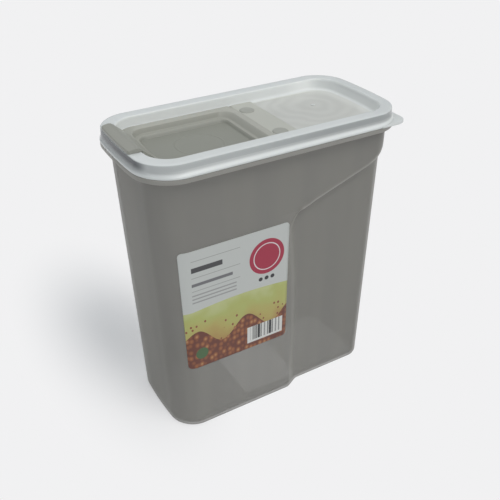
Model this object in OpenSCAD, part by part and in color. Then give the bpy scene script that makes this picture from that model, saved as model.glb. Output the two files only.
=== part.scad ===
/* [Container] */
// Height from the base to the top of the lid's rim
total_h = 230.5; // [200:0.5:260]
// Half length of the lid's rim
rim_half_l = 100; // [85:0.5:120]
// Half width of the lid's rim
rim_half_w = 47.9; // [40:0.1:60]
// Corner radius of the lid's rim
rim_corner_r = 22; // [16:0.5:30]
// How far the rounded ends bow outwards
end_bow = 3.1; // [1:0.1:5]
// Wall thickness of the container
wall_t = 1.6; // [1.2:0.1:2.4]
// Thickness of the base
base_t = 1.8; // [1.2:0.1:3]
// How far the spout end of the base stands in from the rim
base_in_left = 13.5; // [10:0.1:20]
// How far the grip end of the base stands in from the rim
base_in_right = 4.6; // [3:0.1:10]
// How far each long side of the base stands in from the rim
base_in_side = 7.2; // [5.5:0.1:12]
// How much the spout end leans out over the wall height
left_draft = 9; // [3:0.1:10]
// How much the grip end leans out over the wall height
right_draft = 2.6; // [1:0.1:3.4]
// How much each long side leans out over the wall height
side_draft = 2.1; // [1:0.1:3.5]
// Corner radius at the spout end
left_corner_r = 19; // [14:0.1:24]
// Corner radius at the grip end
right_corner_r = 17.9; // [14:0.1:22]
// Radius of the edge around the base
base_edge_r = 4.6; // [2:0.1:6]

// Length of the raised panel on the inside of the base
floor_panel_l = 48; // [30:1:60]
// Width of the raised panel on the inside of the base
floor_panel_w = 56; // [30:1:58]
// Distance of the raised panel's middle from the container's middle
floor_panel_x = 3; // [-5:1:8]
// Height of the raised panel above the inside of the base
floor_panel_rise = 0.6; // [0.4:0.1:1]

/* [Hand recess] */
// Depth of the recess in the long sides
recess_side_d = 5.8; // [3:0.1:7]
// Depth of the recess in the grip end
recess_end_d = 1.8; // [1:0.1:4]
// Place of the recess's upright edge, low down
recess_x = 11.6; // [0:0.1:20]
// Width of the recess's sloped upright edge
recess_slope_w = 8.5; // [6:0.1:12]
// Distance from the rim's top down to the recess's upper edge at its inner end
recess_top_drop = 60.5; // [50:0.5:80]
// Rise of the upper edge towards the grip end, per unit of length
recess_rise = 0.351; // [0.2:0.01:0.45]
// Distance from the rim's top down to the recess's upper edge across the grip end
recess_end_drop = 25; // [23:0.5:34]

/* [Collar and mouth] */
// How far the collar stands out beyond the rim
collar_out = 2.2; // [1:0.1:3]
// Distance from the rim's top down to the collar's lower face
collar_drop = 12.9; // [12.5:0.1:16]
// Height of the collar
collar_h = 3.3; // [2.5:0.1:4]
// Thickness of the mouth ring
mouth_t = 1.8; // [1.2:0.1:2.4]
// Clearance between the mouth ring and the lid's outer skirt
mouth_clear = 0.5; // [0.3:0.05:0.8]

/* [Lid] */
// Width of the rim's flat top
rim_w = 9.4; // [8:0.1:11]
// Wall thickness of the lid
lid_t = 1.5; // [1.2:0.1:1.8]
// Depth of the deck below the rim
deck_drop = 8.6; // [7.5:0.1:10]
// Radius of the fillet where the deck meets the rim
deck_fillet_r = 2.6; // [1.5:0.1:3]
// How far the bead at the skirt's foot stands out
bead_out = 2.5; // [1.5:0.1:3.5]
// Gap between the lid and the container where they meet
seat_gap = 0.3; // [0.3:0.05:0.5]
// Corner radius of the pull tab
tab_corner_r = 10; // [8:0.5:14]
// Length of each side of the pull tab
tab_side = 24; // [20:0.5:30]
// Thickness of the pull tab
tab_t = 1.2; // [1:0.1:1.6]

/* [Spout] */
// Distance of the hinge line from the middle of the lid, towards the grip end
hinge_x = 3; // [0:0.1:6]
// Radius of the bead along the living hinge
hinge_bead_r = 0.35; // [0.3:0.05:0.45]
// Thickness of the flap and of its dish
flap_t = 1.2; // [1:0.05:1.4]
// Clearance between the flap and the lid's inner wall
flap_clear = 0.9; // [0.8:0.05:1.4]
// Width of the rim and the flap's border together, beside the dish
side_border = 16.7; // [15:0.1:24]
// Distance from the hinge line to the near edge of the dish
dish_near = 3.8; // [2.5:0.1:6]
// Width of the rim and the flap's border together, at the spout end
far_border = 20; // [19:0.1:28]
// Drop from the flap's border to the dish's ledge
ledge_drop = 4.1; // [3:0.1:5]
// Drop from the ledge to the dish's floor
floor_drop = 2.5; // [2:0.1:5]
// Half length of the finger bar
bar_half_l = 23.5; // [15:0.5:26]
// Distance of the finger bar's middle from the middle line, away from the label
bar_y = 3.5; // [-4:0.5:4]
// Height of the finger bar's top above the rim
bar_rise = 3; // [2:0.1:4]
// Width of the strip that anchors the hinge
strip_w = 17.5; // [14:0.1:24]
// Thickness of the anchor strip
strip_t = 1.5; // [1.2:0.1:1.8]
// Radius of the studs' heads
stud_head_r = 5.6; // [4.6:0.1:6]
// Radius of the studs' shanks
stud_r = 3.4; // [2.5:0.1:3.6]
// Clearance between a shank and its hole in the deck
stud_clear = 0.1; // [0.05:0.05:0.15]
// Distance from the middle to each stud across the lid
stud_y = 22.4; // [15:0.1:28]
// Distance from the hinge line to the studs
stud_set = 7; // [6.9:0.1:10]

/* [Label] */
// Height of the label's lower edge
label_z = 61.5; // [40:0.5:80]
// Height of the label
label_h = 102; // [60:0.5:105]
// Place of the label's edge next to the hand recess
label_right = 6.4; // [0:0.1:7]
// Corner radius of the label
label_corner_r = 3; // [2:0.1:5]
// Thickness of the label
label_t = 0.2; // [0.15:0.05:0.3]

/* [Hidden] */
$fn = 48;
cut = 1;
bow_k = end_bow / rim_half_l;
base_left = rim_half_l - base_in_left;
base_right = rim_half_l - base_in_right;
base_half_w = rim_half_w - base_in_side;
recess_top_z = total_h - recess_top_drop;
recess_end_z = total_h - recess_end_drop;
collar_z = total_h - collar_drop;
// Height over which the walls lean out
wall_h = collar_z;
corner_n = 8;
rim_top = total_h;
deck_top = rim_top - deck_drop;
deck_bottom = deck_top - lid_t;
collar_top = collar_z + collar_h;
bead_bottom = collar_top + seat_gap;
skirt_in = -lid_t;
mouth_out = skirt_in - mouth_clear;
plug_out = lid_t - rim_w;
ceiling_z = rim_top - 1.8;
mouth_top = ceiling_z - seat_gap - 0.1;
hinge_z = deck_top + strip_t - 0.15;
flap_top = deck_top + strip_t;
flap_bottom = flap_top - flap_t;
label_gap = 0.05;

// Corner radius of an outline that stands o outside the rim's outline
function rim_r(o) = rim_corner_r + (o > 0 ? 1.6 : 0.745) * o;

// An outline is [left end, right end, half width, left radius, right radius].
// The bead and the collar stand out less at the spout end.
spout_end_share = 0.6;
function rim_o(o) = [-rim_half_l - o * (o > 0 ? spout_end_share : 1), rim_half_l + o, rim_half_w + o, rim_r(o), rim_r(o)];
function grow(s, d) = [s[0] - d, s[1] + d, s[2] + d, s[3] + d, s[4] + d];

// Ends bow out: points off the middle line are drawn in a little
function bowed(p, hw) = [p[0] * (1 - bow_k * pow(p[1] / hw, 2)), p[1]];

// One point of an outline: segment 0 left end, 1 left corner, 2 side at x = t, 3 right corner, 4 right end
function at(s, seg, t) = bowed(
    seg == 0 ? [s[0], -t * (s[2] - s[3])] :
    seg == 1 ? [s[0] + s[3] * (1 - cos(90 * t)), -s[2] + s[3] * (1 - sin(90 * t))] :
    seg == 2 ? [t / (1 - bow_k), -s[2]] :
    seg == 3 ? [s[1] - s[4] * (1 - sin(90 * t)), -s[2] + s[4] * (1 - cos(90 * t))] :
    [s[1], -(1 - t) * (s[2] - s[4])], s[2]);

// Columns of the plain outlines, from the left end's middle round the front to the right end's middle
ends = [0, 0.35, 0.7];
plain = concat(
    [for (t = ends) [0, t]],
    [for (i = [0:corner_n]) [1, i / corner_n]],
    [for (i = [0:corner_n]) [3, i / corner_n]],
    [for (t = ends) [4, 1 - ends[2] + t]]);

// A closed row from its front half: the back half mirrors it
function whole(half) = let (n = len(half))
    concat(half, [for (i = [n - 2:-1:1]) [half[i][0], -half[i][1], half[i][2]]]);
function plain_row(s, z) = whole([for (c = plain) let (p = at(s, c[0], c[1])) [p[0], p[1], z]]);

// End face of a row as a strip of pieces between opposite points: shift 0 for mirrored rows, 1 for doubled
function opposite(i, n, shift) = (n - shift - i) % n;
function end_face(n, shift, first, forward) = [for (i = [0:n / 2 - 1 - shift])
    let (a = i, b = i + 1, c = opposite(b, n, shift), d = opposite(a, n, shift))
    let (f = concat([a, b], c == b ? [] : [c], d == a ? [] : [d]))
    [for (k = [0:len(f) - 1]) first + f[forward ? k : len(f) - 1 - k]]];

// Solid between the first and the last of a list of rows, all with the same number of points
module loft(rows, shift = 0) {
    n = len(rows[0]);
    m = len(rows);
    pts = [for (r = rows) for (p = r) p];
    sides = [for (j = [0:m - 2]) for (i = [0:n - 1]) let (k = (i + 1) % n)
        for (f = [[j * n + i, (j + 1) * n + i, (j + 1) * n + k], [j * n + i, (j + 1) * n + k, j * n + k]]) f];
    polyhedron(points = pts, faces = concat(end_face(n, shift, 0, true), sides,
        end_face(n, shift, (m - 1) * n, false)));
}

// Outline of the container's walls at height z, drawn in by d
function wall_o(z, d) = grow([
    -base_left - left_draft * z / wall_h,
    base_right + right_draft * z / wall_h,
    base_half_w + side_draft * z / wall_h,
    left_corner_r,
    right_corner_r], -d);
recess_tighter = 6.5;
function recess_o(z, d) = let (s = wall_o(z, d))
    [s[0], s[1] - recess_end_d, s[2] - recess_side_d, s[3], s[4] - recess_tighter];

// Smooth step from 0 to 1
function smooth(t) = let (u = min(max(t, 0), 1)) u * u * (3 - 2 * u);

// The recess's upright edge leans towards the spout as it rises, then turns into the upper edge
lean_top = recess_top_z - 18;
lean = 6;
function recess_edge(z) = z < lean_top ?
    recess_x - lean * pow(z / lean_top, 4) :
    recess_x - lean + 7 * pow((min(z, recess_top_z) - lean_top) / 16, 2);

// Columns of the walls: segment, place, share of the recess reached, whether the place follows its edge
side_far = [0.3 * rim_half_l, 0.45 * rim_half_l, 0.6 * rim_half_l, 0.74 * rim_half_l];
slope_n = 4;
body_cols = concat(
    [for (t = ends) [0, t, 0, false]],
    [for (i = [0:corner_n]) [1, i / corner_n, 0, false]],
    [for (x = [-0.5, -0.15]) [2, x * rim_half_l, 0, false]],
    [for (i = [0:slope_n]) [2, recess_slope_w * i / slope_n, smooth(i / slope_n), true]],
    [for (x = side_far) [2, x, 1, false]],
    [for (i = [0:corner_n]) [3, i / corner_n, 1, false]],
    [for (t = ends) [4, 1 - ends[2] + t, 1, false]]);

// Upper edge of the recess at a column: it climbs along the side, faster round the corner, then runs level
crease_x = 0.15 * rim_half_l;
function crease_at(x) = recess_top_z + recess_rise * (max(x, crease_x) - crease_x);
recess_corner_r = right_corner_r - recess_tighter;
crease_start = crease_at(base_right + right_draft - recess_end_d - recess_corner_r);
crease_run = recess_rise * recess_corner_r * PI / 2;
function crease_top(c) =
    c[0] < 2 ? recess_top_z :
    c[0] == 2 ? crease_at(c[3] ? recess_x + c[1] : c[1]) :
    c[0] == 3 ? crease_start + crease_run * c[1] + (recess_end_z - crease_start - crease_run) * c[1] * c[1] :
    recess_end_z;
side_crease_h = 5.7;
end_crease_h = 12.6;
function crease_drop(c) =
    side_crease_h + (end_crease_h - side_crease_h) * (c[0] < 3 ? 0 : c[0] == 3 ? c[1] : 1);

// Rows of the walls: a height, or a share of the way up the crease
low_z = [for (k = [0.18, 0.35, 0.53, 0.66, 0.78, 0.86, 0.91]) k * recess_top_z];
crease_n = 4;
function wall_z(c, row) = row[0] == 0 ? row[1] : crease_top(c) - crease_drop(c) * (1 - row[1]);
function wall_share(c, row) = row[0] == 0 ? (row[1] < recess_top_z ? c[2] : 0) : c[2] * smooth(1 - row[1]);
function wall_pt(c, row, d) =
    let (z = wall_z(c, row), w = wall_share(c, row))
    let (t = c[3] ? recess_edge(z) + c[1] : c[1])
    let (a = at(wall_o(z, d), c[0], t), b = at(recess_o(z, d), c[0], t))
    [a[0] + (b[0] - a[0]) * w, a[1] + (b[1] - a[1]) * w, z];
function wall_row(row, d) = whole([for (c = body_cols) wall_pt(c, row, d)]);

// Rounded foot of the walls: the outline at its own height drawn in, then the rows that follow
function foot_row(r, a, z0, d) = let (z = z0 + r * (1 - cos(a)))
    [for (p = whole([for (c = body_cols) wall_pt(c, [0, z], d + r * (1 - sin(a)))])) [p[0], p[1], z]];
wall_rows = concat(
    [for (z = low_z) [0, z]],
    [for (i = [0:crease_n]) [1, i / crease_n]],
    [[0, (recess_end_z + collar_z) / 2]]);
foot_angles = [0, 22.5, 45, 67.5, 90];

// Row of the collar and mouth with the walls' number of columns
function mouth_row(o, z) = whole([for (c = body_cols)
    let (p = at(rim_o(o), c[0], c[3] ? recess_edge(wall_h) + c[1] : c[1])) [p[0], p[1], z]]);
inner_foot_r = base_edge_r - wall_t;
shoulder_z = collar_z + 1.6;

module container_body() {
    color("lightslategray")
    union() {
        loft(concat(
            [for (a = foot_angles) foot_row(base_edge_r, a, 0, 0)],
            [for (r = wall_rows) wall_row(r, 0)],
            [wall_row([0, collar_z - 1], 0),
            wall_row([0, collar_z], -0.8),
            mouth_row(collar_out - 0.6, collar_z),
            mouth_row(collar_out, collar_z + 0.6),
            mouth_row(collar_out, collar_top - 0.5),
            mouth_row(collar_out - 0.5, collar_top),
            mouth_row(mouth_out, collar_top),
            mouth_row(mouth_out, mouth_top - 0.6),
            mouth_row(mouth_out - 0.5, mouth_top),
            mouth_row(mouth_out + 0.5 - mouth_t, mouth_top),
            mouth_row(mouth_out - mouth_t, mouth_top - 0.6),
            mouth_row(mouth_out - mouth_t, shoulder_z + 0.8),
            wall_row([0, shoulder_z], wall_t - 0.5),
            wall_row([0, shoulder_z - 1.6], wall_t)],
            [for (i = [len(wall_rows) - 1:-1:0]) wall_row(wall_rows[i], wall_t)],
            [for (i = [len(foot_angles) - 1:-1:0]) foot_row(inner_foot_r, foot_angles[i], base_t, wall_t)]));
        translate([floor_panel_x, 0, base_t / 2])
            rounded_block(floor_panel_l, floor_panel_w, base_t / 2 + floor_panel_rise, 3);
    }
}

// Block with upright rounded edges, centred across, standing on its base
module rounded_block(l, w, h, r) {
    linear_extrude(h) union() {
        square([l - 2 * r, w], center = true);
        square([l, w - 2 * r], center = true);
        for (x = [-1, 1], y = [-1, 1]) translate([x * (l / 2 - r), y * (w / 2 - r)]) circle(r);
    }
}

// Path of the lid's section: how far outside the rim's outline, and the height
lid_path = [
    [plug_out - lid_t - 1.5, deck_bottom],
    [plug_out - 0.8, deck_bottom],
    [plug_out, deck_bottom + 0.8],
    [plug_out, ceiling_z],
    [skirt_in, ceiling_z],
    [skirt_in, bead_bottom + 5],
    [skirt_in + 2.4, bead_bottom + 3.6],
    [skirt_in + 2.4, bead_bottom],
    [bead_out - 0.4, bead_bottom],
    [bead_out, bead_bottom + 0.4],
    [bead_out, bead_bottom + 3],
    [bead_out - 0.4, bead_bottom + 3.9],
    [bead_out - 1.5, bead_bottom + 4.7],
    [0.3, bead_bottom + 5.4],
    [0, bead_bottom + 6.4],
    [0, rim_top - 1.8],
    [-0.15, rim_top - 1],
    [-0.6, rim_top - 0.4],
    [-1.3, rim_top],
    [0.9 - rim_w, rim_top],
    [0.3 - rim_w, rim_top - 0.3],
    [-rim_w, rim_top - 1],
    for (a = [0:22.5:90])
        [-rim_w - deck_fillet_r * (1 - cos(a)), deck_top + deck_fillet_r * (1 - sin(a))]];

dish_near_x = hinge_x - dish_near;
dish_far_x = far_border - rim_half_l;
dish_half_w = rim_half_w - side_border;
dish_corner_r = 9;
opening_far = dish_far_x - flap_t - 1;
opening_near = dish_near_x + flap_t + 0.5;
opening_half_w = dish_half_w + flap_t + 0.5;
stud_x = hinge_x + stud_set;

module lid() {
    color("whitesmoke")
    difference() {
        union() {
            loft([for (q = lid_path) plain_row(rim_o(q[0]), q[1])]);
            pull_tab();
        }
        translate([(opening_far + opening_near) / 2, 0, deck_bottom - cut])
            rounded_block(opening_near - opening_far, 2 * opening_half_w, lid_t + 2 * cut, dish_corner_r);
        for (s = [-1, 1]) translate([stud_x, s * stud_y, deck_bottom - cut])
            cylinder(h = lid_t + 2 * cut, r = stud_r + stud_clear);
    }
}

// Corner plate that stands out past the bead's rounder corner
tab_x = rim_half_l + bead_out - end_bow + 1.2;
tab_y = rim_half_w + bead_out + 0.4;
module pull_tab() {
    translate([0, 0, bead_bottom]) linear_extrude(tab_t) difference() {
        union() {
            translate([tab_x - tab_side, -tab_y]) square([tab_side - tab_corner_r, tab_side]);
            translate([tab_x - tab_side, tab_corner_r - tab_y]) square([tab_side, tab_side - tab_corner_r]);
            translate([tab_x - tab_corner_r, tab_corner_r - tab_y]) circle(tab_corner_r);
        }
        polygon([for (p = plain_row(rim_o(skirt_in + 2.9), 0)) [p[0], p[1]]]);
    }
}

// Outlines of the flap: its edge, then the dish's steps
flap_o = [-rim_half_l + rim_w + flap_clear, hinge_x - 0.7, rim_half_w - rim_w - flap_clear,
    rim_r(-rim_w) - flap_clear, dish_corner_r];
under_o = [flap_o[0] + 0.95, flap_o[1], flap_o[2] - 0.95, flap_o[3], flap_o[4]];
dish_o = [dish_far_x, dish_near_x, dish_half_w, dish_corner_r, dish_corner_r];
ledge_o = [dish_far_x + 3.6, dish_near_x - 4, dish_half_w - 4.2, dish_corner_r - 3, dish_corner_r - 3];
ledge_z = flap_top - ledge_drop;
floor_z = ledge_z - floor_drop;

module spout_flap() {
    color("darkgray")
    union() {
        loft([
            plain_row(grow(ledge_o, -0.8), floor_z - flap_t),
            plain_row(grow(ledge_o, -0.1), floor_z - flap_t + 0.6),
            plain_row(grow(ledge_o, 1.1), ledge_z - flap_t),
            plain_row(grow(dish_o, -0.5), ledge_z - flap_t),
            plain_row(grow(dish_o, 0), ledge_z - flap_t + 0.5),
            plain_row(grow(dish_o, 1.1), flap_bottom),
            plain_row(under_o, flap_bottom),
            plain_row(flap_o, flap_top - 0.35),
            plain_row(grow(flap_o, -0.25), flap_top),
            plain_row(grow(dish_o, 0.3), flap_top),
            plain_row(grow(dish_o, -0.1), flap_top - 0.4),
            plain_row(grow(dish_o, -1.1), ledge_z + 0.6),
            plain_row(grow(dish_o, -1.6), ledge_z),
            plain_row(grow(ledge_o, 0.3), ledge_z),
            plain_row(grow(ledge_o, -0.1), ledge_z - 0.4),
            plain_row(grow(ledge_o, -1.2), floor_z + 0.6),
            plain_row(grow(ledge_o, -1.7), floor_z)]);
        finger_bar();
    }
}

// Bar over the spout end of the rim, with the web that slopes down to the flap's border
bar_top = rim_top + bar_rise;
bar_in = rim_half_l - rim_w - 1.7;
bar_foot = bar_in - 7.4;
bar_lift = rim_top + 0.4;
bar_end_r = 4;
bar_plan_l = rim_half_l - bar_foot + 2 * bar_end_r;
module finger_bar() {
    intersection() {
        translate([0, bar_y + bar_half_l, 0]) rotate([90, 0, 0]) linear_extrude(2 * bar_half_l) polygon([
            [-bar_foot, flap_bottom + 0.3],
            [-bar_foot, flap_top + 0.1],
            [-bar_foot - 3.9, flap_top + 4.6],
            [-bar_in + 0.5, bar_top - 0.9],
            [-bar_in - 0.1, bar_top - 0.25],
            [-bar_in - 1, bar_top],
            [-rim_half_l, bar_top],
            [-rim_half_l, bar_lift],
            [-bar_in, bar_lift],
            [-bar_in, bar_lift - 1],
            [-bar_foot - 5.2, flap_top + 3.6],
            [-bar_foot - 1.6, flap_top - 0.3],
            [-bar_foot - 1.6, flap_bottom + 0.3]]);
        loft([
            plain_row(rim_o(-0.1), flap_bottom),
            plain_row(rim_o(-0.1), bar_top - 0.9),
            plain_row(rim_o(-0.4), bar_top - 0.3),
            plain_row(rim_o(-1.1), bar_top)]);
        translate([bar_plan_l / 2 - rim_half_l, bar_y, flap_bottom])
            rounded_block(bar_plan_l, 2 * bar_half_l, bar_top, bar_end_r);
    }
}

module living_hinge() {
    color("silver")
    union() {
        translate([hinge_x, hinge_half_l, hinge_z]) rotate([90, 0, 0])
            cylinder(h = 2 * hinge_half_l, r = hinge_bead_r);
        translate([hinge_x, -hinge_half_l, hinge_z - hinge_web_t / 2])
            cube([strip_gap, 2 * hinge_half_l, hinge_web_t]);
    }
}
hinge_half_l = 28;
hinge_web_t = 0.3;
strip_gap = 1.2;

// Strip between the lid's side walls, its ends sloped to clear the deck's fillet
strip_half_l = rim_half_w - rim_w - 1.2;
strip_under_half_l = rim_half_w - rim_w - deck_fillet_r - 0.2;
module hinge_strip() {
    color("darkgray")
    union() {
        intersection() {
            translate([hinge_x + strip_gap + strip_w / 2, 0, deck_top])
                rounded_block(strip_w, 2 * strip_half_l, strip_t, 1.5);
            translate([hinge_x, 0, deck_top]) rotate([90, 0, 90]) linear_extrude(strip_gap + strip_w + cut)
                polygon([
                    [-strip_under_half_l, 0],
                    [strip_under_half_l, 0],
                    [strip_half_l, strip_t - 0.6],
                    [strip_half_l, strip_t],
                    [-strip_half_l, strip_t],
                    [-strip_half_l, strip_t - 0.6]]);
        }
        for (s = [-1, 1]) translate([stud_x, s * stud_y, 0]) stud();
    }
}

// Stud: flat head on the strip, shank through the deck, barb below it
barb_z = deck_bottom - 0.2;
module stud() {
    rotate_extrude() polygon([
        [0, flap_top + 0.7],
        [stud_head_r - 0.7, flap_top + 0.7],
        [stud_head_r - 0.2, flap_top + 0.5],
        [stud_head_r, flap_top + 0.1],
        [stud_head_r, flap_top - 0.5],
        [stud_r, flap_top - 0.5],
        [stud_r, barb_z],
        [stud_r + 0.7, barb_z],
        [stud_r + 0.7, barb_z - 0.5],
        [stud_r - 1, barb_z - 2.6],
        [0, barb_z - 2.6]]);
}

// Label: rows by height, columns from the hand recess (0) to the flat's end (1) and round the corner (2)
label_wrap = 2.4;
label_arc_l = left_corner_r * PI / 2 * label_wrap / corner_n;
function label_at(z, q, e, d) = let (s = wall_o(z, -d), right = label_right - e)
    q > 1 ? at(s, 1, 1 - (q - 1) * label_wrap / corner_n * (1 - e / label_arc_l)) :
    [right + (at(s, 1, 1)[0] - right) * q, -s[2]];
label_cols = [0, 0.4, 0.8, 1, 1.25, 1.5, 1.75, 2];
label_rows = [0, 0.1, 0.4, 1];
function label_edge(q) = label_corner_r * (1 - sqrt(2 * q - q * q));
label_zq = concat(
    [for (q = label_rows) [label_z + q * label_corner_r, label_edge(q)]],
    [for (i = [3:-1:0]) [label_z + label_h - label_rows[i] * label_corner_r, label_edge(label_rows[i])]]);
function label_line(zq, d) = [for (q = label_cols)
    let (p = label_at(zq[0], q, zq[1], d)) [p[0], p[1], zq[0]]];

module label() {
    color("gold")
    loft([for (zq = label_zq) concat(label_line(zq, label_gap),
        [for (i = [len(label_cols) - 1:-1:0]) label_line(zq, label_gap + label_t)[i]])], 1);
}

container_body();
lid();
spout_flap();
living_hinge();
hinge_strip();
label();
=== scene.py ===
"""Upright cereal container with a press-on lid and a flip-up pouring flap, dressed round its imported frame.

Every new surface is a stack of closed outlines: a section gives each outline's size and height, and the
outline's columns run from the spout end round the front to the grip end and back. Lengths are in
millimetres until a mesh is made.
"""

import math

import bpy
import numpy as np
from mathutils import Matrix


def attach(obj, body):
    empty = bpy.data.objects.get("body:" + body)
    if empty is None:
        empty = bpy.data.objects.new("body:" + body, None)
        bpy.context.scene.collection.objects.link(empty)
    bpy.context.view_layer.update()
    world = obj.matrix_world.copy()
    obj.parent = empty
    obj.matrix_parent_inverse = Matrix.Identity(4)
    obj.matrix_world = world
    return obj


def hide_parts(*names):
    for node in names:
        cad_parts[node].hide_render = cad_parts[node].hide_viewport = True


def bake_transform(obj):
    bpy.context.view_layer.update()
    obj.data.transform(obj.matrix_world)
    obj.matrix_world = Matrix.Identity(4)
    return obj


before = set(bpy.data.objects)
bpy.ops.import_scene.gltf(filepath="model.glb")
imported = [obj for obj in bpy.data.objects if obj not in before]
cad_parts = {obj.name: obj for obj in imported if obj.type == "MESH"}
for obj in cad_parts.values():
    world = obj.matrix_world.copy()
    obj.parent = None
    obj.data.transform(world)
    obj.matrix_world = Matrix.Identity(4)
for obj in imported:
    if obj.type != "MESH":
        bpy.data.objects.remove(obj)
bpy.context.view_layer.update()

MM = 0.001

# ---------------------------------------------------------------- sizes, in mm
TOTAL_H = 230.5
RIM_L, RIM_W, RIM_R = 100.0, 47.9, 22.0  # the rim's half length, half width and corner radius
BOW = 0.031  # share by which an end is drawn in at its corners
WALL_T, BASE_T, FOOT_R = 1.6, 1.8, 4.6
BASE = (-86.5, 95.4, 40.7, 19.0, 17.9)  # left end, right end, half width, left radius, right radius
DRAFT = (-9.0, 2.6, 2.1)  # what the first three gain over the wall's height
RECESS_SIDE, RECESS_END, RECESS_TIGHTER = 5.8, 1.8, 6.5
RECESS_X, RECESS_SLOPE, RECESS_TOP, RECESS_RISE, RECESS_END_Z = 11.6, 8.5, 170.0, 0.351, 205.5
COLLAR_Z, COLLAR_TOP, COLLAR_OUT = 217.6, 220.9, 2.2
MOUTH_OUT, MOUTH_T, MOUTH_TOP = -2.0, 1.8, 228.3
RIM_BAND, LID_T, DECK_TOP, DECK_FILLET = 9.4, 1.5, 221.9, 2.6
GATE, GATE_R, GATE_H = (60.0, 10.0), 1.7, 0.4  # raised mark where the lid was filled: place, radius, rise
LEAN = 2.0  # how far the rim's inner wall leans outward on the tab's end
BEAD_Z, BEAD_OUT = 221.2, 2.5
HINGE_X, HINGE_Z = 3.0, 223.25
FLAP_TOP, FLAP_T = 223.4, 1.2
DISH = (-80.0, -0.8, 31.2, 9.0, 9.0)
PANEL = (3.0, 24.0, 28.0, 0.6)  # the floor's raised panel: middle, half length, half width, rise
STRIP_X, STUD_X, STUD_Y, STUD_R = (4.2, 21.7), 10.0, 22.4, 3.4
WEB_HALF = 36.4  # half width of the living hinge
BAR_TOP, BAR_Y, BAR_HALF = 233.5, 3.5, 23.5
LABEL_Z, LABEL_H, LABEL_RIGHT, LABEL_R, LABEL_WRAP = 61.5, 102.0, 6.4, 3.0, 0.3
RECESS_R = BASE[4] - RECESS_TIGHTER


# ---------------------------------------------------------------- outlines
def ease(t):
    """Smooth step: 3 t squared less 2 t cubed, held to 0 and 1 outside."""
    u = np.clip(t, 0, 1)
    return u * u * (3 - 2 * u)


def ramp(t):
    """Straight climb from 0 to 1 with rounded ends: the slope grows over the first quarter, holds, and
    dies away over the last quarter."""
    a = 0.25
    low, high = t ** 2 / (2 * a * (1 - a)), 1 - (1 - t) ** 2 / (2 * a * (1 - a))
    return np.where(t < a, low, np.where(t > 1 - a, high, (t - a / 2) / (1 - a)))


def columns(end_n, corner_n, side_n):
    """Segment number and place 0 to 1 of each column of the front half: end, corner, side, corner, end."""
    counts = (end_n, corner_n, side_n, corner_n, end_n)
    seg = np.concatenate([np.full(n, k) for k, n in enumerate(counts)] + [[4]])
    place = np.concatenate([np.arange(n) / n for n in counts] + [[1.0]])
    return seg, place


def around(left, right, half, left_r, right_r, bow, seg, t, side_x=None):
    """x and y of a bowed rounded rectangle. Each corner is a quarter circle turned through t quarter
    turns; then x shrinks by bow times the square of y over the half width."""
    turn = t * np.pi / 2
    straight = left + left_r + t * (right - right_r - left - left_r)
    if side_x is not None:
        straight = side_x / (1 - bow)
    parts = [seg == k for k in range(4)]
    x = np.select(parts, [left + 0 * t, left + left_r * (1 - np.cos(turn)), straight,
                          right - right_r * (1 - np.sin(turn))], right + 0 * t)
    y = np.select(parts, [-t * (half - left_r), -half + left_r * (1 - np.sin(turn)), -half + 0 * t,
                          -half + right_r * (1 - np.cos(turn))], -(1 - t) * (half - right_r))
    return x * (1 - bow * (y / half) ** 2), y


def both_halves(p):
    """Adds the back half of each row: the front half mirrored across the middle line."""
    return np.concatenate([p, p[:, -2:0:-1] * [1, -1, 1]], 1)


def rim(out, z):
    """Row of a section: outline out mm outside the rim's edge at height z, the bead and collar standing
    out less at the spout end."""
    r = RIM_R + (1.6 if out > 0 else 0.745) * out
    return [-RIM_L - out * (0.6 if out > 0 else 1), RIM_L + out, RIM_W + out, r, r, BOW, z]


def grown(outline, d, z, bow=BOW):
    """Row of a section: an outline grown by d mm on every side, at height z."""
    left, right, half, left_r, right_r = outline
    return [left - d, right + d, half + d, left_r + d, right_r + d, bow, z]


def headings(edge, x):
    """Directions from x on the middle line to the points of an edge row."""
    way = edge[:, :2] - [x, 0]
    return way / np.linalg.norm(way, axis=1, keepdims=True)


def all_round(n):
    """n directions evenly round a circle."""
    turn = np.arange(n) * 2 * np.pi / n
    return np.stack([np.cos(turn), np.sin(turn)], -1)


def rings(way, x, y, path):
    """Rows of circles round x, y, given as radius and height, with their points along the directions."""
    r, z = np.asarray(path, float).T[:, :, None, None]
    flat = [x, y] + r * way
    return np.concatenate([flat, z + 0 * flat[:, :, :1]], 2)


def rounded(path, radius, steps=5, keys=(2, 6)):
    """Turns each inner corner of a section into a parabola arc that starts radius before it and ends
    radius after it, or nearly half a neighbouring run if that is less."""
    p = np.asarray(path, float)
    radius = np.broadcast_to(radius, len(p))
    rows = [p[:1]]
    u = np.linspace(0, 1, steps + 1)[:, None]
    for before, at, after, r in zip(p[:-2], p[1:-1], p[2:], radius[1:-1]):
        runs = [max(np.hypot(*(q - at)[list(keys)]), 1e-6) for q in (before, after)]
        cut = min(r, 0.48 * runs[0], 0.48 * runs[1])
        if cut == 0:
            rows.append(at[None])
            continue
        a = at + (before - at) * cut / runs[0]
        b = at + (after - at) * cut / runs[1]
        rows.append((1 - u) ** 2 * a + 2 * u * (1 - u) * at + u ** 2 * b)
    return np.concatenate(rows + [p[-1:]])


def between(a, b, n):
    """n rows evenly spaced between two rows, without them."""
    u = (np.arange(n) + 1)[:, None] / (n + 1)
    return (np.asarray(a) * (1 - u) + np.asarray(b) * u).tolist()


def loft(rows, counts):
    """Points of a section's rows: each row is left, right, half width, two radii, bow and height."""
    seg, t = columns(*counts)
    r = np.asarray(rows, float)[:, :, None]
    x, y = around(*[r[:, k] for k in range(6)], seg[None], t[None])
    return both_halves(np.stack([x, y, r[:, 6] + 0 * x], -1))


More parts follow.
